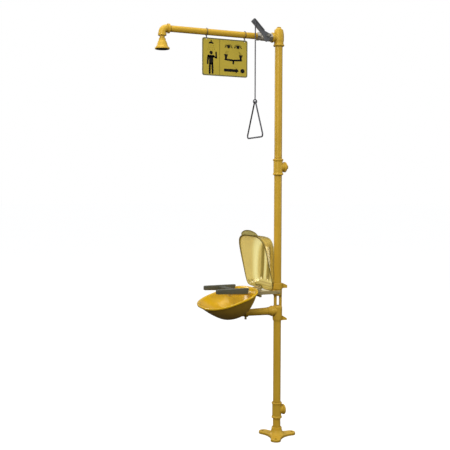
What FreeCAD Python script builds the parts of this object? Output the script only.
import FreeCAD, Part
import math
import os
from FreeCAD import Vector, Placement, Rotation

# Combination safety station: drench shower and eye/face wash on one standpipe.
# Frame: origin at the centre of the floor flange's underside, +Z up,
# the user stands on the -Y side, supply and waste leave on the +Y side.

doc = FreeCAD.newDocument("safety_shower")
sheet = doc.addObject("Spreadsheet::Sheet", "Params")

SIZES = [
    ("pipe_od", 42.2, "standpipe outside diameter, 1-1/4 IPS"),
    ("pipe_id", 35.05, "standpipe inside diameter"),
    ("arm_od", 33.4, "shower arm outside diameter, 1 IPS"),
    ("arm_id", 26.64, "shower arm inside diameter"),
    ("half_od", 21.34, "eyewash supply pipe outside diameter, 1/2 IPS"),
    ("half_id", 15.8, "eyewash supply pipe inside diameter"),
    ("neck_od", 26.67, "shower head nipple outside diameter, 3/4 IPS"),
    ("neck_id", 20.93, "shower head nipple inside diameter"),
    ("joint_gap", 0.05, "radial gap of a made-up threaded joint"),
    ("thread_depth", 18.0, "pipe engagement in a fitting"),
    ("tee_half", 44.5, "tee centre to end"),
    ("band_rad", 28.6, "radius of a tee's end band"),
    ("run_rad", 25.2, "radius of a tee's run between bands"),
    ("band_len", 8.0, "length of a tee's end band"),
    ("port_rad", 19.25, "wall radius of an open 1-1/4 threaded port"),
    ("flange_rad", 114.3, "floor flange overall radius"),
    ("lobe_rad", 28.0, "radius of a flange lobe's tip"),
    ("flange_thick", 14.0, "floor flange thickness"),
    ("flange_top", 54.0, "top of the floor flange's hub"),
    ("bolt_circle", 190.5, "floor bolt circle diameter"),
    ("bolt_hole", 14.0, "floor bolt hole diameter"),
    ("lvl_waste", 149.0, "waste tee centre height"),
    ("lvl_drain", 709.0, "drain arm axis height"),
    ("lvl_wash", 817.0, "eyewash supply axis height"),
    ("yoke_low", 654.0, "underside of the yoke casting"),
    ("yoke_high", 863.0, "top of the yoke casting"),
    ("lvl_supply", 1505.0, "supply tee centre height"),
    ("lvl_arm", 2208.0, "shower arm axis height"),
    ("plug_top", 2267.0, "top of the plug, the overall height"),
    ("head_y", -670.0, "shower head axis, forward of the standpipe"),
    ("head_low", 2100.0, "underside of the shower head"),
    ("valve_y", -88.0, "shower valve centre"),
    ("rod_rad", 3.2, "pull rod radius"),
    ("rod_hole_y", -168.5, "rod hole in the lever, forward"),
    ("rod_hole_z", 2272.5, "rod hole in the lever, height"),
    ("rod_x", 56.0, "pull rod offset to the side"),
    ("grip_rad", 4.0, "handle wire radius"),
    ("grip_apex", 1849.4, "height of the handle's apex axis"),
    ("grip_low", 1659.0, "height of the handle's bottom bar axis"),
    ("grip_half", 101.0, "half width of the handle"),
    ("sign_thick", 3.0, "sign thickness"),
    ("sign_front", -450.0, "sign's forward edge"),
    ("sign_back", -189.0, "sign's rear edge"),
    ("sign_low", 1982.0, "sign's lower edge"),
    ("sign_high", 2179.0, "sign's upper edge"),
    ("bowl_half_x", 185.0, "bowl rim half width"),
    ("bowl_half_y", 151.0, "bowl rim half length along its slope"),
    ("bowl_y", -305.0, "bowl rim centre, forward"),
    ("bowl_lvl", 802.0, "bowl rim centre, height"),
    ("bowl_tilt", 17.6, "bowl rim slope, front lower"),
    ("bowl_wall", 4.0, "bowl wall thickness"),
    ("cover_wall", 3.0, "dust cover wall thickness"),
    ("cover_turn", 94.7, "angle from the closed to the open cover"),
    ("hinge_y", -135.5, "cover hinge axis, forward"),
    ("hinge_z", 836.6, "cover hinge axis, height"),
    ("bar_x", 88.0, "spray bar offset from the centre"),
    ("bar_front", -404.0, "front end of a spray bar"),
    ("bar_back", -217.0, "rear end of a spray bar"),
    ("bar_top", 856.0, "top of a spray bar"),
    ("bar_tall", 25.0, "height of a spray bar"),
    ("bar_wide", 21.0, "width of a spray bar"),
    ("wash_valve_y", -78.0, "eyewash valve centre"),
    ("crank_len", 17.0, "crank and cover lug radius"),
]

VAL = {}
for row, (name, value, note) in enumerate(SIZES, 1):
    sheet.set("A%d" % row, name)
    sheet.set("B%d" % row, repr(value))
    sheet.setAlias("B%d" % row, name)
    sheet.set("C%d" % row, note)
    VAL[name] = float(value)
doc.recompute()


class Dim:
    """A size with its number and the sheet expression it came from."""

    def __init__(self, num, txt):
        self.num = num
        self.txt = txt

    def __float__(self):
        return float(self.num)

    def _mix(self, other, op, swap=False):
        if not isinstance(other, Dim):
            other = Dim(float(other), "(%r)" % float(other))
        a, b = (other, self) if swap else (self, other)
        num = {"+": a.num + b.num, "-": a.num - b.num, "*": a.num * b.num,
               "/": a.num / b.num if op == "/" else 0.0}[op]
        return Dim(num, "(%s %s %s)" % (a.txt, op, b.txt))

    def __add__(self, o): return self._mix(o, "+")
    def __radd__(self, o): return self._mix(o, "+", True)
    def __sub__(self, o): return self._mix(o, "-")
    def __rsub__(self, o): return self._mix(o, "-", True)
    def __mul__(self, o): return self._mix(o, "*")
    def __rmul__(self, o): return self._mix(o, "*", True)
    def __truediv__(self, o): return self._mix(o, "/")
    def __neg__(self): return self._mix(-1.0, "*")


class Sizes:
    pass


S = Sizes()
for name in VAL:
    setattr(S, name, Dim(VAL[name], "Params." + name))

PIECES = []          # exported objects, in order


def keep(obj, label):
    obj.Label = label
    PIECES.append(obj)
    return obj


def bind(obj, prop, value):
    if isinstance(value, Dim):
        obj.setExpression(prop, value.txt)
    else:
        setattr(obj, prop, value)


TURN = {"+Z": Rotation(), "-Z": Rotation(Vector(1, 0, 0), 180),
        "+X": Rotation(Vector(0, 1, 0), 90), "-X": Rotation(Vector(0, 1, 0), -90),
        "+Y": Rotation(Vector(1, 0, 0), -90), "-Y": Rotation(Vector(1, 0, 0), 90)}


def put(obj, base=(0, 0, 0), rot=None):
    obj.Placement = Placement(Vector(*[float(b) for b in base]), rot or Rotation())
    for axis, b in zip("xyz", base):
        if isinstance(b, Dim):
            obj.setExpression("Placement.Base." + axis, b.txt)
    return obj


# ---------------------------------------------------------------- Part helpers
def cyl(rad, high, base, way="+Z"):
    o = doc.addObject("Part::Cylinder", "cyl")
    bind(o, "Radius", rad)
    bind(o, "Height", high)
    return put(o, base, TURN[way])


def cone(r1, r2, high, base, way="+Z"):
    o = doc.addObject("Part::Cone", "cone")
    bind(o, "Radius1", r1)
    bind(o, "Radius2", r2)
    bind(o, "Height", high)
    return put(o, base, TURN[way])


def box(sx, sy, sz, base):
    o = doc.addObject("Part::Box", "box")
    bind(o, "Length", sx)
    bind(o, "Width", sy)
    bind(o, "Height", sz)
    return put(o, base)


def ball(rad, base):
    o = doc.addObject("Part::Sphere", "ball")
    bind(o, "Radius", rad)
    return put(o, base)


def torus(r1, r2, base, way="+Z", sweep=360.0, spin=0.0):
    o = doc.addObject("Part::Torus", "torus")
    bind(o, "Radius1", r1)
    bind(o, "Radius2", r2)
    o.Angle3 = sweep
    return put(o, base, TURN[way].multiply(Rotation(Vector(0, 0, 1), spin)))


def hexa(flats, high, base, way="+Z"):
    o = doc.addObject("Part::Prism", "hexa")
    o.Polygon = 6
    bind(o, "Circumradius", flats * (1 / math.sqrt(3)))
    bind(o, "Height", high)
    return put(o, base, TURN[way])


def fuse(*objs):
    o = doc.addObject("Part::MultiFuse", "fuse")
    o.Shapes = list(objs)
    return o


def cut(a, *tools):
    o = doc.addObject("Part::Cut", "cut")
    o.Base = a
    o.Tool = tools[0] if len(tools) == 1 else fuse(*tools)
    return o


def soften(obj, rad, test, kind="Part::Fillet"):
    """Round or bevel the edges for which test(edge) holds."""
    doc.recompute()
    picks = [(i, rad, rad) for i, e in enumerate(obj.Shape.Edges, 1) if test(e)]
    o = doc.addObject(kind, "soft")
    o.Base = obj
    o.Edges = picks
    return o


# ---------------------------------------------------------- PartDesign helpers
def new_body(label):
    b = doc.addObject("PartDesign::Body", label)
    return keep(b, label)


def plane(b, role):
    return [f for f in b.Origin.OriginFeatures if f.Role == role][0]


def new_sketch(b, role, offset=0.0):
    sk = b.newObject("Sketcher::SketchObject", "sketch")
    sk.AttachmentSupport = [(plane(b, role), "")]
    sk.MapMode = "FlatFace"
    if isinstance(offset, Dim):
        sk.setExpression("AttachmentOffset.Base.z", offset.txt)
    elif offset:
        sk.AttachmentOffset = Placement(Vector(0, 0, offset), Rotation())
    return sk


def lock(sk, gid, pos, x, y):
    for kind, v in (("DistanceX", x), ("DistanceY", y)):
        n = sk.addConstraint(Part_constraint(kind, gid, pos, float(v)))
        if isinstance(v, Dim):
            sk.setExpression("Constraints[%d]" % n, v.txt)


def Part_constraint(*a):
    import Sketcher
    return Sketcher.Constraint(*a)


def poly(sk, pts):
    """Closed outline of straight sides, each corner held to the sheet."""
    n = len(pts)
    ids = []
    for i in range(n):
        a, b = pts[i], pts[(i + 1) % n]
        ids.append(sk.addGeometry(Part.LineSegment(
            Vector(float(a[0]), float(a[1]), 0), Vector(float(b[0]), float(b[1]), 0)), False))
    for i in range(n):
        sk.addConstraint(Part_constraint("Coincident", ids[i], 2, ids[(i + 1) % n], 1))
    for i in range(n):
        lock(sk, ids[i], 1, pts[i][0], pts[i][1])
    return ids


def circle(sk, x, y, rad):
    g = sk.addGeometry(Part.Circle(Vector(float(x), float(y), 0), Vector(0, 0, 1), float(rad)), False)
    lock(sk, g, 3, x, y)
    n = sk.addConstraint(Part_constraint("Radius", g, float(rad)))
    if isinstance(rad, Dim):
        sk.setExpression("Constraints[%d]" % n, rad.txt)
    return g


def spin(b, pts, role="YZ_Plane", axis="V_Axis", cutting=False):
    """Turn a closed profile about a sketch axis, adding or removing."""
    sk = new_sketch(b, role)
    poly(sk, pts)
    f = b.newObject("PartDesign::Groove" if cutting else "PartDesign::Revolution", "turn")
    f.Profile = sk
    f.ReferenceAxis = (sk, [axis])
    f.Angle = 360.0
    sk.Visibility = False
    return f


def pad(b, make, high, role="XY_Plane", offset=0.0, mid=False, flip=False, cutting=False, through=False):
    sk = new_sketch(b, role, offset)
    make(sk)
    f = b.newObject("PartDesign::Pocket" if cutting else "PartDesign::Pad", "pad")
    f.Profile = sk
    if through:
        f.Type = "ThroughAll"
    else:
        bind(f, "Length", high)
    f.Midplane = mid
    f.Reversed = flip
    sk.Visibility = False
    return f


def tube(label, r_in, r_out, lo, hi, base=(0, 0, 0), way="+Z", bevel=1.0):
    """Round tube between two stations on its own axis."""
    b = new_body(label)
    spin(b, [(r_in, lo), (r_out - bevel, lo), (r_out, lo + bevel), (r_out, hi - bevel),
             (r_out - bevel, hi), (r_in, hi)], "XZ_Plane")
    return put(b, base, TURN[way])


GAP = S.joint_gap
PR, PI = S.pipe_od / 2, S.pipe_id / 2
AR, AI = S.arm_od / 2, S.arm_id / 2
HR, HI = S.half_od / 2, S.half_id / 2
NR, NI = S.neck_od / 2, S.neck_id / 2

# ------------------------------------------------------------------ standpipe
# Floor flange: three lobes with concave sides between them, and a conical hub.
b = new_body("floor_flange")
tip, rl, waist = float(S.flange_rad) - float(S.lobe_rad), float(S.lobe_rad), 48.0
# a concave side touches both neighbouring tips and comes in to the waist
rc_c = (tip ** 2 - (rl - waist) ** 2) / (tip + 2 * (rl - waist))
rc = rc_c - waist
sk = new_sketch(b, "XY_Plane")
for k in range(3):
    th = math.radians(90 + 120 * k)
    c = Vector(math.cos(th), math.sin(th), 0) * tip
    cn = [Vector(math.cos(th + s), math.sin(th + s), 0) * rc_c for s in (-math.pi / 3, math.pi / 3)]
    t0, t1 = [c + (q - c).normalize() * rl for q in cn]
    g = sk.addGeometry(Part.Arc(t0, c + Vector(math.cos(th), math.sin(th), 0) * rl, t1), False)
    th2 = math.radians(90 + 120 * (k + 1))
    c2 = Vector(math.cos(th2), math.sin(th2), 0) * tip
    t2 = c2 + (cn[1] - c2).normalize() * rl
    g2 = sk.addGeometry(Part.Arc(t1, Vector(math.cos(th + math.pi / 3), math.sin(th + math.pi / 3), 0) * waist, t2), False)
for k in range(6):
    sk.addConstraint(Part_constraint("Block", k))
f = b.newObject("PartDesign::Pad", "lobes")
f.Profile = sk
bind(f, "Length", S.flange_thick)
sk.Visibility = False
doc.recompute()
top_edges = ["Edge%d" % i for i, e in enumerate(f.Shape.Edges, 1)
             if abs(e.BoundBox.ZMin - VAL["flange_thick"]) < 1e-4 and abs(e.BoundBox.ZMax - VAL["flange_thick"]) < 1e-4]
fl = b.newObject("PartDesign::Fillet", "lobe_round")
fl.Base = (f, top_edges)
fl.Radius = 4.0
spin(b, [(0, 0), (47, 0), (47, S.flange_thick), (40, 19), (33.5, 27), (29.5, 38), (28, S.flange_top - 2), (26.5, S.flange_top), (0, S.flange_top)])
spin(b, [(0, 6), (PR + GAP, 6), (PR + GAP, 70), (0, 70)], cutting=True)
R_B = S.bolt_circle / 2
pad(b, lambda k: circle(k, 0, R_B, S.bolt_hole / 2), 0, through=True, mid=True, cutting=True)
first = b.Tip
pp = b.newObject("PartDesign::PolarPattern", "bolt_holes")
pp.Originals = [first]
pp.Axis = (first.Profile[0], ["N_Axis"])
pp.Angle = 360
pp.Occurrences = 3
b.Tip = pp
put(b)

tube("flange_nipple", PI, PR, 8.0, S.lvl_waste - S.tee_half + S.thread_depth)


def tee(label, lvl, branch_r, bore_r, open_port, run=None):
    """Three-way fitting with end bands: run along Z, branch along +Y."""
    b = new_body(label)
    h, br, rr, bl = S.tee_half, S.band_rad, S.run_rad, S.band_len
    spin(b, run or [(0, -h), (br - 2, -h), (br, -h + 2), (br, -h + bl), (rr, -h + bl + 4), (rr, h - bl - 4),
                    (br, h - bl), (br, h - 2), (br - 2, h), (0, h)])
    k = branch_r
    spin(b, [(0, 0), (h, 0), (h, k - 2), (h - 2, k), (h - bl, k), (h - bl - 5, k - 5), (0, k - 5)], axis="H_Axis")
    doc.recompute()
    seam = ["Edge%d" % i for i, e in enumerate(b.Tip.Shape.Edges, 1)
            if e.Curve.TypeId not in ("Part::GeomCircle", "Part::GeomLine")]
    last = b.Tip
    if seam and not run:
        fl = b.newObject("PartDesign::Fillet", "crotch")
        fl.Base = (last, seam)
        fl.Radius = 4.0
        doc.recompute()
        if (not fl.isValid()) or fl.Shape.isNull() or not fl.Shape.isValid():
            b.removeObject(fl)
            doc.removeObject(fl.Name)
            b.Tip = last
    g, d = PR + GAP, S.thread_depth
    spin(b, [(0, -h - 1), (g, -h - 1), (g, -h + d), (PI, -h + d), (PI, h - d), (g, h - d), (g, h + 1), (0, h + 1)], cutting=True)
    spin(b, [(0, 0), (h + 1, 0), (h + 1, bore_r), (h - d, bore_r), (h - d, open_port), (0, open_port)], axis="H_Axis", cutting=True)
    return put(b, (0, 0, lvl))


tee("waste_tee", S.lvl_waste, S.band_rad, S.port_rad, PI)
tube("waste_pipe", PI, PR, S.lvl_waste + S.tee_half - S.thread_depth, S.yoke_low + S.thread_depth)

# Yoke casting: lower socket with the drain inlet, two struts round an open
# window, upper socket with the eyewash outlet, and a rear ear at each end.
b = new_body("yoke_casting")
Z0 = S.lvl_drain
lo, hi = S.yoke_low - Z0, S.yoke_high - Z0
spin(b, [(0, lo), (23.5, lo), (24.5, lo + 1.5), (26, lo + 10), (27, lo + 30), (27, 20), (25, 26), (21, 29), (0, 29)])


def strut(k):
    for y0, y1 in ((-19.5, -6.5), (13.0, 25.0)):
        poly(k, [(-6, y0), (6, y0), (8.5, y0 + 3), (8.5, y1 - 3), (6, y1), (-6, y1), (-8.5, y1 - 3), (-8.5, y0 + 3)])


pad(b, strut, 78, offset=15)
spin(b, [(0, 84), (21, 84), (24, 87), (25.5, 91), (25.5, hi - 35), (28.3, hi - 31), (28.3, hi - 3), (26.5, hi), (0, hi)])
spin(b, [(0, 0), (0, 24), (-30, 27), (-32, 29), (-38, 29), (-46, 24.5), (-54, 22.5), (-62, 22), (-62, 0)], axis="H_Axis")


def ears(k):
    poly(k, [(18, lo), (56, lo), (56, lo + 9), (30, lo + 25), (18, lo + 27)])
    poly(k, [(18, hi - 29), (57, hi - 29), (57, hi - 14), (30, hi - 1), (18, hi - 0.5)])


pad(b, ears, 18, role="YZ_Plane", mid=True)
wl = S.lvl_wash - Z0
pad(b, lambda k: circle(k, 0, wl, 15), 42, role="XZ_Plane")
spin(b, [(0, lo - 1), (PR + GAP, lo - 1), (PR + GAP, lo + S.thread_depth), (PI, lo + S.thread_depth), (PI, 18), (0, 18)], cutting=True)
spin(b, [(0, hi + 1), (PR + GAP, hi + 1), (PR + GAP, hi - S.thread_depth), (PI, hi - S.thread_depth), (PI, 94), (0, 94)], cutting=True)
spin(b, [(0, 0), (0, 14.5), (-44, 14.5), (-44, 17.05), (-63, 17.05), (-63, 0)], axis="H_Axis", cutting=True)
pad(b, lambda k: circle(k, 0, wl, HR + GAP), 60, role="XZ_Plane", cutting=True, flip=True)
put(b, (0, 0, Z0))

tube("supply_riser", PI, PR, S.yoke_high - S.thread_depth, S.lvl_supply - S.tee_half + S.thread_depth)
tee("supply_tee", S.lvl_supply, S.band_rad, S.port_rad, PI)
tube("shower_riser", PI, PR, S.lvl_supply + S.tee_half - S.thread_depth, S.lvl_arm - S.tee_half + S.thread_depth)
TH = S.tee_half
t = tee("top_tee", S.lvl_arm, S.band_rad - 1.6, AR + GAP, AI,
        [(0, -TH), (28, -TH), (30, -TH + 2), (30, -TH + 7), (26, -TH + 11), (26, -24), (28, -12), (28.4, 8), (27.4, 24), (25, TH - 8), (23.6, TH - 0.6), (23, TH), (0, TH)])
t.Placement = Placement(t.Placement.Base, Rotation(Vector(0, 0, 1), 180))
t.setExpression("Placement.Base.z", S.lvl_arm.txt)

# Square-head plug in the top of the tee.
b = new_body("top_plug")
pz = S.plug_top - S.lvl_arm
spin(b, [(0, S.tee_half - 16), (PR - 1, S.tee_half - 16), (PR, S.tee_half - 15), (PR, S.tee_half + 0.3), (22.0, S.tee_half + 0.3), (13.5, S.tee_half + 8), (0, S.tee_half + 8)])
pad(b, lambda k: poly(k, [(-8, -9.5), (8, -9.5), (9.5, -8), (9.5, 8), (8, 9.5), (-8, 9.5), (-9.5, 8), (-9.5, -8)]),
    pz - S.tee_half - 7, offset=S.tee_half + 7)
put(b, (0, 0, S.lvl_arm))

tube("valve_nipple", AI, AR, 30.0, 60.0, (0, 0, S.lvl_arm), "-Y")

# --------------------------------------------------------------- shower valve
# One-inch ball valve. The body screws on the nipple, the end piece closes the
# ball chamber and takes the arm, the stem comes out sideways through a gland.
VC = (0, S.valve_y, S.lvl_arm)


def vc(dx=0.0, dy=0.0, dz=0.0):
    return (dx, S.valve_y + dy, S.lvl_arm + dz)


shell = fuse(hexa(41.0, 15.0, vc(0, 28.2), "+Y"), cyl(21.5, 50.0, vc(0, -20), "+Y"), cone(21.5, 19.0, 4.0, vc(0, -20.0), "-Y"),
             cyl(12.0, 37.0, vc(0, 0), "+X"), torus(19.6, 2.6, vc(0, -14), "+Y"), torus(19.6, 2.6, vc(0, 16), "+Y"))
hole = fuse(cyl(17.0, 40.0, vc(0, 18.0), "-Y"), cyl(12.5, 60.0, vc(0, -10), "+Y"), cyl(AR + GAP, 20.0, vc(0, 27.5), "+Y"),
            cyl(5.05, 50.0, vc(0), "+X"), cyl(18.55, 6.0, vc(0, -18.0), "-Y"))
o = keep(cut(shell, hole), "shower_valve_body")

endp = fuse(cyl(18.5, 7.0, vc(0, -18.0), "-Y"), cyl(20.0, 8.0, vc(0, -24.2), "-Y"), hexa(41.0, 16.5, vc(0, -31.0), "-Y"), torus(18.2, 2.2, vc(0, -28), "+Y"))
o = keep(cut(endp, cyl(12.5, 40.0, vc(0, -10), "-Y"), cyl(AR + GAP, 20.0, vc(0, -30.0), "-Y")), "shower_valve_end")

ring = fuse(cut(cyl(16.9, 6.0, vc(0, 11.9), "+Y"), cyl(12.5, 20.0, vc(0, 5), "+Y")),
            cut(cyl(16.9, 5.6, vc(0, -11.9), "-Y"), cyl(12.5, 20.0, vc(0, -5), "-Y")))
o = keep(cut(ring, ball(16.3, vc())), "shower_valve_seats")



def bored_ball(label, rad, bore_r, slot, spot, way):
    """Valve ball with its bore along way and a slot for the stem's tang."""
    b = new_body(label)
    top = math.degrees(math.acos(bore_r / rad))
    ring = [(rad * math.cos(math.radians(top * (i / 7.0 - 1))), rad * math.sin(math.radians(top * (i / 7.0 - 1)))) for i in range(15)]
    spin(b, ring, "XZ_Plane")
    deep, wide = slot
    for back in (False, True):
        pad(b, lambda k: poly(k, [(rad - deep, -wide / 2), (rad + 1, -wide / 2), (rad + 1, wide / 2), (rad - deep, wide / 2)]), 1.5 * rad, role="XZ_Plane", flip=back, cutting=True)
    return put(b, spot, TURN[way])


bored_ball("shower_valve_ball", 16.0, 12.0, (3.3, 3.4), VC, "+Z")
stem = fuse(cyl(5.0, 40.5, vc(16.5), "+X"), box(4.0, 9.2, 3.0, vc(13.0, -4.6, -1.5)))
o = keep(stem, "shower_valve_stem")
o = keep(cut(fuse(hexa(24.0, 5.0, vc(37.1), "+X"), cyl(9.5, 2.6, vc(42.0), "+X")), cyl(5.08, 20.0, vc(30), "+X")), "stem_packing_nut")

# Lever: formed channel plate, hub below the stem line, stop tab towards the tee.
b = new_body("shower_lever")
LV = [(-8.0, -6.0)]
ux, uz = -0.7055, 0.7087            # lever direction forward and up
nx, nz = 0.7087, 0.7055             # across the lever, towards the tee


def lp(along, across):
    return (-8.0 + ux * along + nx * across, -8.0 + uz * along + nz * across)


def lever_plate(k):
    pts = [lp(118, -13), lp(118, 11), lp(115, 14), lp(28, 14), (4.5, 12.5), (19, 6.5), (21, -1.5), (11.5, -5), (10.5, -18), (6, -27), (-2, -33),
           (-10, -35), (-17, -33), (-23, -27), (-26, -18), (-27.5, -8), lp(23, -15.5), lp(31, -14), lp(115, -14)]
    poly(k, pts)


pad(b, lever_plate, 3, role="YZ_Plane", offset=44.7)
for side in (-1, 1):
    pad(b, lambda k: poly(k, [lp(34, 14.0 * side), lp(34, 10.6 * side), lp(113, 10.6 * side), lp(113, 14.0 * side)][::side]),
        5.0, role="YZ_Plane", offset=47.2)
pad(b, lambda k: circle(k, 0, 0, 5.04), 20, role="YZ_Plane", offset=40, cutting=True, flip=True)
hy, hz = S.rod_hole_y - S.valve_y, S.rod_hole_z - S.lvl_arm
pad(b, lambda k: circle(k, hy, hz, S.rod_rad + 0.08), 20, role="YZ_Plane", offset=40, cutting=True, flip=True)
put(b, VC)

o = keep(cut(hexa(17.0, 7.0, vc(47.8), "+X"), cyl(5.04, 20.0, vc(45), "+X")), "lever_nut")

# Pull rod: bent pin through the lever, straight drop, eye at the foot.
RX, RYh, RZh = S.rod_x, S.rod_hole_y, S.rod_hole_z
bend = 5.4
eye_z = 1851.0
p0 = Vector(41.0, float(RYh), float(RZh))
p1 = Vector(float(RX) - bend, float(RYh), float(RZh))
pm = Vector(float(RX) - bend + bend * math.sin(math.pi / 4), float(RYh), float(RZh) - bend + bend * math.cos(math.pi / 4))
p2 = Vector(float(RX), float(RYh), float(RZh) - bend)
rod = fuse(cyl(S.rod_rad, RX - bend - 39.5, (39.5, RYh, RZh), "+X"),
           torus(bend, S.rod_rad, (RX - bend, RYh, RZh - bend), "-Y", 90.0, 0.0),
           cyl(S.rod_rad, RZh - bend - (eye_z + 11.0), (RX, RYh, eye_z + 11.0), "+Z"),
           torus(9.5, S.rod_rad, (RX, RYh, eye_z), "+X"))
o = keep(rod, "pull_rod")
o = keep(cut(cyl(7.0, 1.6, (42.9, RYh, RZh), "+X"), cyl(S.rod_rad + 0.04, 10.0, (40, RYh, RZh), "+X"),
             box(1.9, 4.5, 4.0, (42.8, RYh - 2.25, RZh + 4.0))), "rod_clip")

# Triangular handle of bent wire, in the plane across the arm.
b = new_body("pull_handle")
sp = new_sketch(b, "XZ_Plane")
HA = float(S.grip_apex) - float(S.grip_apex)
tri = [Vector(0, 0, 0), Vector(VAL["grip_half"], VAL["grip_low"] - VAL["grip_apex"], 0), Vector(-VAL["grip_half"], VAL["grip_low"] - VAL["grip_apex"], 0)]
tri[0] = Vector(0, 7.5, 0)


def rounded(points, rads):
    out = []
    n = len(points)
    for i in range(n):
        a, p, c = points[i - 1], points[i], points[(i + 1) % n]
        u, w = (a - p).normalize(), (c - p).normalize()
        half = u.getAngle(w) / 2
        t = rads[i] / math.tan(half)
        bis = (u + w).normalize()
        cen = p + bis * (rads[i] / math.sin(half))
        out.append((p + u * t, cen - bis * rads[i], p + w * t))
    return out


rd = rounded(tri, [9.0, 13.0, 13.0])
# the apex's arc is tangent to the pin line of the rod's eye
shift = rd[0][1].y
rd = [(a - Vector(0, shift, 0) if i == 0 else a, m - Vector(0, shift, 0) if i == 0 else m, c - Vector(0, shift, 0) if i == 0 else c)
      for i, (a, m, c) in enumerate(rd)]
tri[0] = Vector(0, 7.5 - shift, 0)
rd = rounded(tri, [9.0, 13.0, 13.0])
for i in range(3):
    a, m, c = rd[i]
    sp.addGeometry(Part.Arc(a, m, c), False)
    nx_ = rd[(i + 1) % 3][0]
    sp.addGeometry(Part.LineSegment(c, nx_), False)
for i in range(6):
    sp.addConstraint(Part_constraint("Block", i))
pr = new_sketch(b, "YZ_Plane")
circle(pr, 0, float(rd[1][2].y), S.grip_rad)
doc.recompute()
pipe = b.newObject("PartDesign::AdditivePipe", "wire")
pipe.Profile = pr
pipe.Spine = (sp, ["Edge4", "Edge5", "Edge6", "Edge1", "Edge2", "Edge3"])
pipe.Mode = "Frenet"
sp.Visibility = pr.Visibility = False
for back in (False, True):
    pad(b, lambda k: circle(k, 0, 0, S.grip_rad), 2.6, role="YZ_Plane", flip=back)
put(b, (RX, RYh, S.grip_apex))

# ------------------------------------------------------------------ shower arm
tube("shower_arm", AI, AR, 118.5, -S.head_y - 25.2, (0, 0, S.lvl_arm), "-Y")

# Reducing elbow: one-inch level leg, three-quarter leg downwards.
HY = S.head_y
EB = 24.0
leg1 = fuse(torus(EB, 19.6, (0, HY + EB, S.lvl_arm - EB), "+X", 90.0, 180.0),
            cyl(19.6, 6.0, (0, HY + EB, S.lvl_arm), "+Y"), cyl(24.7, 11.0, (0, HY + 27.5, S.lvl_arm), "+Y"),
            cyl(19.6, 6.0, (0, HY, S.lvl_arm - EB), "-Z"), cyl(21.8, 11.0, (0, HY, S.lvl_arm - 27.0), "-Z"))
o = cut(leg1, cyl(AR + GAP, 20.0, (0, HY + EB + 1.0, S.lvl_arm), "+Y"), cyl(10.4, 5.0, (0, HY + EB, S.lvl_arm), "+Y"),
        torus(EB, 10.4, (0, HY + EB, S.lvl_arm - EB), "+X", 90.0, 180.0),
        cyl(NR + GAP, 20.0, (0, HY, S.lvl_arm - EB - 1.0), "-Z"), cyl(10.4, 5.0, (0, HY, S.lvl_arm - EB), "-Z"))
keep(o, "arm_elbow")

tube("head_nipple", NI, NR, 25.2, 66.0, (0, HY, S.lvl_arm), "-Z")

# Shower head: bell, with a spider ring in its mouth that holds the spindle.
b = new_body("head_body")
spin(b, [(13.4, 55.5), (16.5, 55.5), (18, 54), (18, 45), (20.5, 42), (25, 31), (27.5, 22), (30.5, 14), (36.5, 9), (38, 7.5), (38, 1.5), (37, 0.5),
         (35.2, 0.5), (35.2, 7.5), (28.0, 12.5), (25.2, 21), (22.3, 30), (17.5, 39), (13.4, 40.5)])
put(b, (0, HY, S.head_low))
b = new_body("head_ring")
spin(b, [(29.5, 0), (33.5, 0), (35.1, 1.2), (35.1, 7.4), (29.5, 7.4)])
pad(b, lambda k: poly(k, [(-31.5, -2.2), (31.5, -2.2), (31.5, 2.2), (-31.5, 2.2)]), 5.5, offset=1.0)
pad(b, lambda k: poly(k, [(-2.2, -31.5), (2.2, -31.5), (2.2, 31.5), (-2.2, 31.5)]), 5.5, offset=1.0)
spin(b, [(0, 0.4), (6.5, 0.4), (8, 1.9), (8, 7.4), (0, 7.4)])
spin(b, [(0, -1), (3.04, -1), (3.04, 20), (0, 20)], cutting=True)
put(b, (0, HY, S.head_low))
b = new_body("impeller_spindle")
spin(b, [(0, -0.0), (2.4, -0.0), (3, 0.6), (3, 23.4), (0, 23.4)])
spin(b, [(0, 23.4), (5, 23.4), (5, 25.4), (0, 26.0)])
put(b, (0, HY, S.head_low + 0.5))
b = new_body("head_impeller")
spin(b, [(3.08, 9.0), (6.5, 9.0), (6.5, 22.5), (3.08, 22.5)])


def blade(k):
    poly(k, [(5.2, -1.2), (22.0, -4.5), (22.5, -2.3), (5.2, 1.4)])


pad(b, blade, 10.0, offset=10.5)
bl_f = b.Tip
pp = b.newObject("PartDesign::PolarPattern", "blades")
pp.Originals = [bl_f]
pp.Axis = (bl_f.Profile[0], ["N_Axis"])
pp.Angle = 360
pp.Occurrences = 6
b.Tip = pp
put(b, (0, HY, S.head_low))

# ------------------------------------------------------------------------ sign
b = new_body("sign_plate")
y0, y1, z0, z1 = S.sign_front, S.sign_back, S.sign_low, S.sign_high


def sign_out(k):
    c = 5.0
    pts = [(y0 + 9, z0), (y1 - 9, z0), (y1 - 2.7, z0 + 2.7), (y1, z0 + 9), (y1, z1 - 9), (y1 - 2.7, z1 - 2.7), (y1 - 9, z1), (y0 + 9, z1),
           (y0 + 2.7, z1 - 2.7), (y0, z1 - 9), (y0, z0 + 9), (y0 + 2.7, z0 + 2.7)]
    poly(k, pts)


pad(b, sign_out, S.sign_thick, role="YZ_Plane", mid=True)


def sign_holes(k):
    circle(k, y0 + 24, z1 - 6.3, 3.2)
    circle(k, y1 - 17, z1 - 6.3, 3.2)


pad(b, sign_holes, 20, role="YZ_Plane", mid=True, cutting=True)
put(b)
rings = []
for yy in (y0 + 24, y1 - 17):
    rings.append(torus(19.5, 1.6, (0, yy, S.lvl_arm), "+Y"))
    rings.append(torus(5.6, 1.6, (0, yy, S.lvl_arm - 28.6), "+Y"))
    rings.append(cyl(2.4, 5.0, (0, yy - 2.5, S.lvl_arm - 21.3), "+Y"))
keep(fuse(*rings), "sign_hangers")

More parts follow.
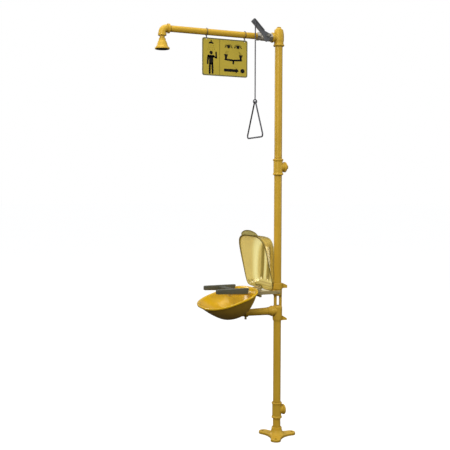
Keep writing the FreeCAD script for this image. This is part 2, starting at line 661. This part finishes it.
# ------------------------------------------------------------------------ bowl
TB = math.radians(VAL["bowl_tilt"])


def oval(rx, ry, frame, power=2.5, count=36):
    """Closed smooth rounded oval; frame turns (x, y) into space."""
    pts = []
    for i in range(count):
        a = 2 * math.pi * (i + 0.5) / count
        ca, sa = math.cos(a), math.sin(a)
        x = rx * math.copysign(abs(ca) ** (2 / power), ca)
        y = ry * math.copysign(abs(sa) ** (2 / power), sa)
        pts.append(frame(x, y))
    c = Part.BSplineCurve()
    c.interpolate(Points=pts, PeriodicFlag=True)
    return Part.Wire([c.toShape()])


def loft(rows, ruled=False):
    s = Part.makeLoft(rows, True, ruled)
    if s.Volume < 0:
        s.reverse()
    return s


BX, BY, BW = VAL["bowl_half_x"], VAL["bowl_half_y"], VAL["bowl_wall"]
# share of the rim's size and power of the oval at each depth under the rim
DEPTHS = [(0.0, 1.0, 2.5), (-16, 0.958, 2.45), (-40, 0.85, 2.4), (-66, 0.715, 2.3), (-90, 0.565, 2.2), (-108, 0.41, 2.1), (-119, 0.25, 2.0)]


def bowl_rows(off, drop, extra):
    rows = []
    for n, rho, pw in DEPTHS:
        if n == 0.0:
            n = extra
        else:
            n = n + drop
        rows.append(oval(BX * rho - off, BY * rho - off, lambda x, y, n=n: Vector(x, y, n), pw))
    return rows


outer = loft(bowl_rows(0.0, 0.0, -0.0))
inner = loft(bowl_rows(BW * 1.12, BW, 1.0))
lip_o = loft([oval(BX + 5, BY + 5, lambda x, y, n=n: Vector(x, y, n)) for n in (-11.0, -1.5)] , True)
lip_t = loft([oval(BX + 5 - d, BY + 5 - d, lambda x, y, n=n: Vector(x, y, n)) for n, d in ((-1.5, 0.0), (0.0, 1.5))], True)
lip = lip_o.fuse(lip_t)
turn = Placement(Vector(0, VAL["bowl_y"], VAL["bowl_lvl"]), Rotation(Vector(1, 0, 0), VAL["bowl_tilt"]))
out_all = outer.fuse(lip)
out_all.Placement = turn
inner.Placement = turn
spout_z = VAL["lvl_drain"]
spout = Part.makeCylinder(19.5, 66.0, Vector(0, -262.0, spout_z), Vector(0, 1, 0))
bore = Part.makeCylinder(14.5, 80.0, Vector(0, -262.0, spout_z), Vector(0, 1, 0))
pipe_hole = Part.makeCylinder(VAL["half_od"] / 2 + 0.3, 60.0, Vector(0, -190.0, VAL["lvl_wash"]), Vector(0, 1, 0))
bowl_shape = out_all.fuse(spout).cut(inner).cut(bore).cut(pipe_hole)
if len(bowl_shape.Solids) > 1:
    bowl_shape = sorted(bowl_shape.Solids, key=lambda q: q.Volume)[-1]
bowl = doc.addObject("Part::Feature", "bowl")
bowl.Shape = bowl_shape.removeSplitter()
keep(bowl, "bowl")


def tilt(x, u, n):
    """Point in the bowl's sloping frame: across, up the slope, off the rim plane."""
    return Vector(x, VAL["bowl_y"] + u * math.cos(TB) - n * math.sin(TB), VAL["bowl_lvl"] + u * math.sin(TB) + n * math.cos(TB))


TILT = Rotation(Vector(1, 0, 0), VAL["bowl_tilt"])

b = new_body("drain_strainer")
spin(b, [(0, -112.2), (3.3, -112.2), (3.3, -113.5), (6.5, -113.5), (6.5, -107.5), (36, -108.5), (38, -109.5), (38, -107.0), (30, -104.5), (0, -103.5)])
pad(b, lambda k: circle(k, 13, 0, 3.0), 0, cutting=True, through=True, mid=True, offset=-100)
h1 = b.Tip
pp = b.newObject("PartDesign::PolarPattern", "ring_a")
pp.Originals = [h1]
pp.Axis = (h1.Profile[0], ["N_Axis"])
pp.Occurrences = 6
b.Tip = pp
pad(b, lambda k: circle(k, 24.5, 0, 3.2), 0, cutting=True, through=True, mid=True, offset=-100)
h2 = b.Tip
pp = b.newObject("PartDesign::PolarPattern", "ring_b")
pp.Originals = [h2]
pp.Axis = (h2.Profile[0], ["N_Axis"])
pp.Occurrences = 12
b.Tip = pp
spin(b, [(0, -120), (2.6, -120), (2.6, -90), (0, -90)], cutting=True)
b.Placement = Placement(Vector(0, VAL["bowl_y"], VAL["bowl_lvl"]), TILT)
b = new_body("strainer_screw")
spin(b, [(0, -114.8), (2.5, -114.8), (2.5, -103.4), (5.0, -103.4), (4.2, -101.2), (2.0, -100.4), (0, -100.3)])
b.Placement = Placement(Vector(0, VAL["bowl_y"], VAL["bowl_lvl"]), TILT)

# Drain arm: tapered cast tube from the bowl's spout to the yoke.
b = new_body("drain_arm")
spin(b, [(14.5, 45), (17.0, 45), (17.0, 62.1), (20.6, 62.1), (20.9, 66), (19.2, 150), (18.6, 186), (18.6, 193.8), (14.5, 193.8)], "XZ_Plane")
put(b, (0, 0, S.lvl_drain), TURN["-Y"])
b = new_body("drain_gasket")
spin(b, [(14.6, 193.9), (19.4, 193.9), (19.4, 195.9), (14.6, 195.9)], "XZ_Plane")
put(b, (0, 0, S.lvl_drain), TURN["-Y"])
nut = cut(fuse(cyl(24.0, 15.0, (0, -185.5, S.lvl_drain), "-Y"), cyl(5.6, 13.0, (0, -194.0, S.lvl_drain - 17.0), "-Z"), torus(22.6, 2.0, (0, -193.0, S.lvl_drain), "+Y")),
          cyl(20.2, 40.0, (0, -180, S.lvl_drain), "-Y"))
nut = cut(nut, cyl(3.04, 60.0, (0, -194.0, S.lvl_drain - 18.0), "-Z"))
keep(nut, "drain_slip_nut")
scr = fuse(cyl(3.0, 16.2, (0, -194.0, S.lvl_drain - 20.0), "-Z"), cyl(6.5, 5.0, (0, -194.0, S.lvl_drain - 31.5), "-Z"))
keep(scr, "drain_thumb_screw")

# ----------------------------------------------------------- eyewash supply
WZ, WV = S.lvl_wash, S.wash_valve_y
tube("eyewash_nipple", HI, HR, 22.0, 62.0, (0, 0, WZ), "-Y", 0.6)


def wv(dx=0.0, dy=0.0, dz=0.0):
    return (dx, WV + dy, WZ + dz)


shell = fuse(cyl(14.6, 44.0, wv(0, -22), "+Y"), hexa(28.0, 9.0, wv(0, 16.0), "+Y"), hexa(28.0, 9.0, wv(0, -16.0), "-Y"), cyl(7.5, 16.4, wv(), "+X"))
hole = fuse(cyl(11.0, 24.0, wv(0, -12), "+Y"), cyl(HR + GAP, 20.0, wv(0, 12.0), "+Y"), cyl(HR + GAP, 20.0, wv(0, -12.0), "-Y"), cyl(3.55, 20.0, wv(), "+X"))
keep(cut(shell, hole), "eyewash_valve_body")
keep(cut(fuse(cut(cyl(10.9, 3.2, wv(0, 8.7), "+Y"), cyl(7.6, 30.0, wv(0, -15), "+Y")),
              cut(cyl(10.9, 3.2, wv(0, -8.7), "-Y"), cyl(7.6, 30.0, wv(0, -15), "+Y"))), ball(10.3, wv())), "eyewash_valve_seats")
bored_ball("eyewash_ball", 10.0, 7.0, (2.6, 4.2), wv(), "+Y")

# Crank on the eyewash stem and lug on the cover keep parallel with the bar
# between them, so the valve turns with the cover.
CL = VAL["crank_len"]
ca = math.radians(200.0)         # crank direction at rest, from +Y towards +Z
cy, cz = CL * math.cos(ca), CL * math.sin(ca)
crank = fuse(cyl(3.5, 11.6, wv(10.0), "+X"), box(2.6, 3.8, 7.0, wv(7.6, -1.9, -3.5)),
             cyl(6.5, 3.0, wv(17.0), "+X"))
arm = box(3.0, CL, 9.0, (0, 0, 0))
arm.Placement = Placement(Vector(17.0, VAL["wash_valve_y"], VAL["lvl_wash"]), Rotation(Vector(1, 0, 0), 200.0)).multiply(Placement(Vector(0, 0, -4.5), Rotation()))
crank = fuse(crank, arm, cyl(5.0, 3.0, wv(17.0, cy, cz), "+X"), cyl(2.4, 7.0, wv(17.0, cy, cz), "+X"))
keep(crank, "eyewash_stem")

tube("eyewash_supply_pipe", HI, HR, 93.0, 288.0, (0, 0, WZ), "-Y", 0.6)

# Bulkhead nuts seal the supply pipe where it passes the bowl's wall.
nuts = []
keep(cut(hexa(32.0, 7.0, (0, -151.5, WZ), "-Y"), cyl(HR + GAP, 40.0, (0, -130, WZ), "-Y")), "bulkhead_nut")

elb = fuse(torus(13.0, 12.4, (0, -291.0, WZ + 13.0), "+X", 90.0, 270.0), cyl(13.6, 9.0, (0, -282.5, WZ), "-Y"),
           cyl(12.4, 3.0, (0, -304.0, WZ + 12.5), "+Z"))
elb = cut(elb, cyl(HR + GAP, 20.0, (0, -288.1, WZ), "+Y"), cyl(7.0, 5.0, (0, -286.0, WZ), "-Y"),
          torus(13.0, 7.0, (0, -291.0, WZ + 13.0), "+X", 90.0, 270.0), cyl(7.0, 8.0, (0, -304.0, WZ + 13.0), "+Z"))
keep(elb, "eyewash_elbow")

# Spray manifold: round boss on the elbow and a flat cross channel.
BT, BH = S.bar_top, S.bar_tall
mz = BT - BH
man = fuse(cyl(13.0, 6.0, (0, -304.0, WZ + 15.5), "+Z"), box(2 * S.bar_x - S.bar_wide - 0.2, 34.0, 14.0, (-(S.bar_x - S.bar_wide / 2) + 0.1, -321.0, mz + 6.0)),
           cyl(20.0, 16.0, (0, -304.0, mz + 5.0), "+Z"))
man = cut(man, cyl(7.0, 12.0, (0, -304.0, WZ + 10), "+Z"), box(2 * S.bar_x, 22.0, 8.0, (-S.bar_x, -315.0, mz + 9.0)))
keep(man, "spray_manifold")


def spray_bar(label, side):
    """Hollow bar with rounded ends and a row of jets on its inner top edge."""
    b = new_body(label)
    w, t, y0, y1 = S.bar_wide / 2, S.bar_tall, S.bar_front, S.bar_back
    cx = S.bar_x * side

    def out(k):
        poly(k, [(cx - w + 5, y0), (cx + w - 5, y0), (cx + w - 1.5, y0 + 1.5), (cx + w, y0 + 5), (cx + w, y1 - 12), (cx + w - 2, y1 - 4),
                 (cx + w - 6, y1), (cx - w + 6, y1), (cx - w + 2, y1 - 4), (cx - w, y1 - 12), (cx - w, y0 + 5), (cx - w + 1.5, y0 + 1.5)])

    pad(b, out, t, offset=BT - BH)
    doc.recompute()
    zt = VAL["bar_top"]
    edges = ["Edge%d" % i for i, e in enumerate(b.Tip.Shape.Edges, 1) if abs(e.BoundBox.ZMin - zt) < 1e-3 or abs(e.BoundBox.ZMax - (zt - VAL["bar_tall"])) < 1e-3]
    last = b.Tip
    ch = b.newObject("PartDesign::Chamfer", "edge")
    ch.Base = (last, edges)
    ch.Size = 2.2
    # inner channel, closed at both ends, open to the manifold on the inner side
    pad(b, lambda k: poly(k, [(cx - w + 3.5, y0 + 8), (cx + w - 3.5, y0 + 8), (cx + w - 3.5, y1 - 12), (cx - w + 3.5, y1 - 12)]), t - 9, offset=BT - 4.5, cutting=True)
    pad(b, lambda k: [circle(k, cx - side * 2.0, float(y0) + 16 + 9.1 * i, 2.1) for i in range(17)], 7.0, offset=BT, cutting=True)
    return put(b)


spray_bar("spray_bar_left", 1)
spray_bar("spray_bar_right", -1)

# ------------------------------------------------------- cover hinge bracket
# Two side arms clamp the yoke and carry the hinge pin behind the bowl.
HGY, HGZ = S.hinge_y, S.hinge_z
arms = []
for x in (29.0, -32.0):
    a = box(3.0, 146.0, 19.0, (x, -143.0, WZ - 10.5))
    c = cyl(8.0, 3.0, (x, HGY, HGZ), "+X")
    w = box(3.0, 16.0, 22.0, (x, HGY - 8.0, HGZ - 22.0))
    arms += [a, c, w]
bridge = box(64.0, 3.0, 12.0, (-32.0, -118.0, WZ - 23.5))
bl = box(3.0, 12.0, 15.0, (29.0, -124.5, WZ - 23.5))
br_ = box(3.0, 12.0, 15.0, (-32.0, -124.5, WZ - 23.5))
brk = fuse(*(arms + [bridge, bl, br_]))
brk = cut(brk, cyl(4.05, 80.0, (-40, HGY, HGZ), "+X"), cyl(4.1, 80.0, (-40, -6.0, WZ - 1.0), "+X"))
keep(brk, "hinge_bracket")
bolts = fuse(cyl(4.0, 5.5, (26.6, -6.0, WZ - 1.0), "+X"), hexa(13.0, 5.0, (32.1, -6.0, WZ - 1.0), "+X"),
             cyl(4.0, 5.5, (-26.6, -6.0, WZ - 1.0), "-X"), hexa(13.0, 5.0, (-32.1, -6.0, WZ - 1.0), "-X"))
keep(bolts, "bracket_bolts")
keep(fuse(cyl(4.0, 68.0, (-34.0, HGY, HGZ), "+X"), cyl(6.0, 2.5, (32.5, HGY, HGZ), "+X"), cyl(6.0, 2.5, (-32.5, HGY, HGZ), "-X")), "hinge_pin")

# ------------------------------------------------------------------- cover
# Built closed over the bowl in the bowl's sloping frame, then turned open.
CW = VAL["cover_wall"]
RIM = 10.5
OPEN = Placement(Vector(0, VAL["hinge_y"], VAL["hinge_z"]), Rotation(Vector(1, 0, 0), -VAL["cover_turn"])).multiply(
    Placement(Vector(0, -VAL["hinge_y"], -VAL["hinge_z"]), Rotation()))
CLOSED = Placement(Vector(0, VAL["bowl_y"], VAL["bowl_lvl"]), TILT)


def cover_rows(off, lift):
    """Rim oval below, flat sloping crown above; the crown is lower at the hinge."""
    rows = []
    #       share of height, half x, u centre, half u, power
    for q, hx, uc, hu, pw in ((0.0, 168.0, 14.0, 136.0, 4.0), (0.22, 163.0, 15.0, 132.0, 4.0), (0.5, 153.0, 16.0, 125.0, 3.8), (0.78, 134.0, 15.5, 113.5, 3.6), (1.0, 96.0, 26.0, 92.0, 2.8)):
        def place(x, u, q=q, uc=uc):
            uu = uc + u
            # crown height falls from 104 at the front to 46 at the hinge side
            top = 46.0 + (135.0 - uu) * (104.0 - 46.0) / 210.0
            return Vector(x, uu, RIM + (q * (top - 8.0) if q else lift))
        rows.append(oval(hx - off, hu - off, place, pw))
    return rows


c_out = loft(cover_rows(0.0, 0.0))
c_in = loft(cover_rows(CW, -1.0))
c_in.translate(Vector(0, 0, -CW))
lipc = loft([oval(171.5, 139.5, lambda x, y, n=n: Vector(x, 14.0 + y, n), 4.0) for n in (RIM, RIM + 3.0)], True)
# finger lip in front of the dome, in the rim's plane
grip = loft([oval(110.0, 32.0, lambda x, y, n=n: Vector(x, -118.0 + y, n), 2.2) for n in (RIM, RIM + 3.0)], True)
cut_c = loft([oval(168.0 - CW, 136.0 - CW, lambda x, y, n=n: Vector(x, 14.0 + y, n), 4.0) for n in (RIM - 5.0, RIM + 3.1)], True)
tab = Part.makeBox(72.0, 27.0, 3.0, Vector(-36.0, 149.0, 2.5)).fuse(Part.makeBox(72.0, 3.6, 13.0, Vector(-36.0, 149.0, 2.5)))
tab = tab.cut(Part.makeCylinder(2.6, 20, Vector(-15, 170, -5))).cut(Part.makeCylinder(2.6, 20, Vector(15, 170, -5)))
cov = c_out.fuse(lipc).fuse(grip).fuse(tab).cut(c_in).cut(cut_c)
if len(cov.Solids) > 1:
    cov = sorted(cov.Solids, key=lambda q: q.Volume)[-1]
cover = doc.addObject("Part::Feature", "dust_cover")
cover.Shape = cov
cover.Placement = OPEN.multiply(CLOSED)
keep(cover, "dust_cover")

# Hinge leaf under the cover's rear edge, with two ears on the pin and the lug
# of the valve link. All in the open position.
CO = OPEN.multiply(CLOSED)
hing = CO.inverse().multVec(Vector(0, VAL["hinge_y"], VAL["hinge_z"]))


def in_cover(o, base):
    o.Placement = CO.multiply(Placement(Vector(*base), Rotation()))
    return o


leaf = in_cover(box(60.0, 18.0, 2.4, (0, 0, 0)), (-30.0, 158.5, 0.0))
ears_l = []
for x in (22.6, -25.6):
    e1 = cyl(7.5, 3.0, (x, HGY, HGZ), "+X")
    e2 = in_cover(box(3.0, 13.0, 0.6 - hing.z, (0, 0, 0)), (x, hing.y - 8.5, hing.z))
    ears_l += [e1, e2]
l1 = cyl(4.6, 3.0, (22.6, HGY + cy, HGZ + cz), "+X")
l2 = box(3.0, CL, 8.0, (0, 0, 0))
l2.Placement = Placement(Vector(22.6, VAL["hinge_y"], VAL["hinge_z"]), Rotation(Vector(1, 0, 0), 200.0)).multiply(Placement(Vector(0, 0, -4.0), Rotation()))
lf = fuse(*([leaf] + ears_l + [l1, l2]))
lf = cut(lf, cyl(4.06, 80.0, (-40, HGY, HGZ), "+X"), cyl(2.45, 20.0, (15, HGY + cy, HGZ + cz), "+X"),
         in_cover(cyl(2.55, 20, (0, 0, 0)), (-15, 170, -5)), in_cover(cyl(2.55, 20, (0, 0, 0)), (15, 170, -5)))
keep(lf, "hinge_leaf")
scr = []
for x in (-15, 15):
    scr += [in_cover(cyl(2.5, 9.2, (0, 0, 0)), (x, 170, -3.0)), in_cover(cyl(4.6, 2.2, (0, 0, 0)), (x, 170, 5.5)), in_cover(hexa(7.5, 2.8, (0, 0, 0)), (x, 170, -2.8))]
keep(fuse(*scr), "leaf_screws")

# Bar between the crank pin and the cover's lug.
y_a, z_a = VAL["wash_valve_y"] + cy, VAL["lvl_wash"] + cz
y_b, z_b = VAL["hinge_y"] + cy, VAL["hinge_z"] + cz
long_ab = math.hypot(y_b - y_a, z_b - z_a)
flat = box(2.0, long_ab, 8.0, (0, 0, 0))
flat.Placement = Placement(Vector(20.3, y_a, z_a), Rotation(Vector(1, 0, 0), math.degrees(math.atan2(z_b - z_a, y_b - y_a)))).multiply(Placement(Vector(0, 0, -4.0), Rotation()))
bar = fuse(flat, cyl(4.0, 2.0, (20.3, y_a, z_a), "+X"), cyl(4.0, 2.0, (20.3, y_b, z_b), "+X"))
bar = cut(bar, cyl(2.46, 20.0, (15.0, y_a, z_a), "+X"))
keep(fuse(bar, cyl(2.38, 6.2, (20.3, y_b, z_b), "+X")), "link_bar")

doc.recompute()
bad = []
for o in doc.Objects:
    st = [x for x in o.State if x in ("Invalid", "Error")]
    if st:
        bad.append((o.Name, o.Label, st))
for o in PIECES:
    sh = o.Shape
    if sh.isNull() or not sh.isValid() or sh.Volume <= 0:
        bad.append((o.Label, "shape"))
    else:
        bb = sh.BoundBox
        print("%-22s solids %d vol %9.1f  x %.1f..%.1f y %.1f..%.1f z %.1f..%.1f" % (
            o.Label, len(sh.Solids), sh.Volume, bb.XMin, bb.XMax, bb.YMin, bb.YMax, bb.ZMin, bb.ZMax))
if bad:
    for q in bad:
        print("BAD", q)
    raise RuntimeError("failed pieces")
os.makedirs("parts", exist_ok=True)
for o in PIECES:
    o.Shape.exportStep("parts/%s.step" % o.Label)
print("pieces", len(PIECES))
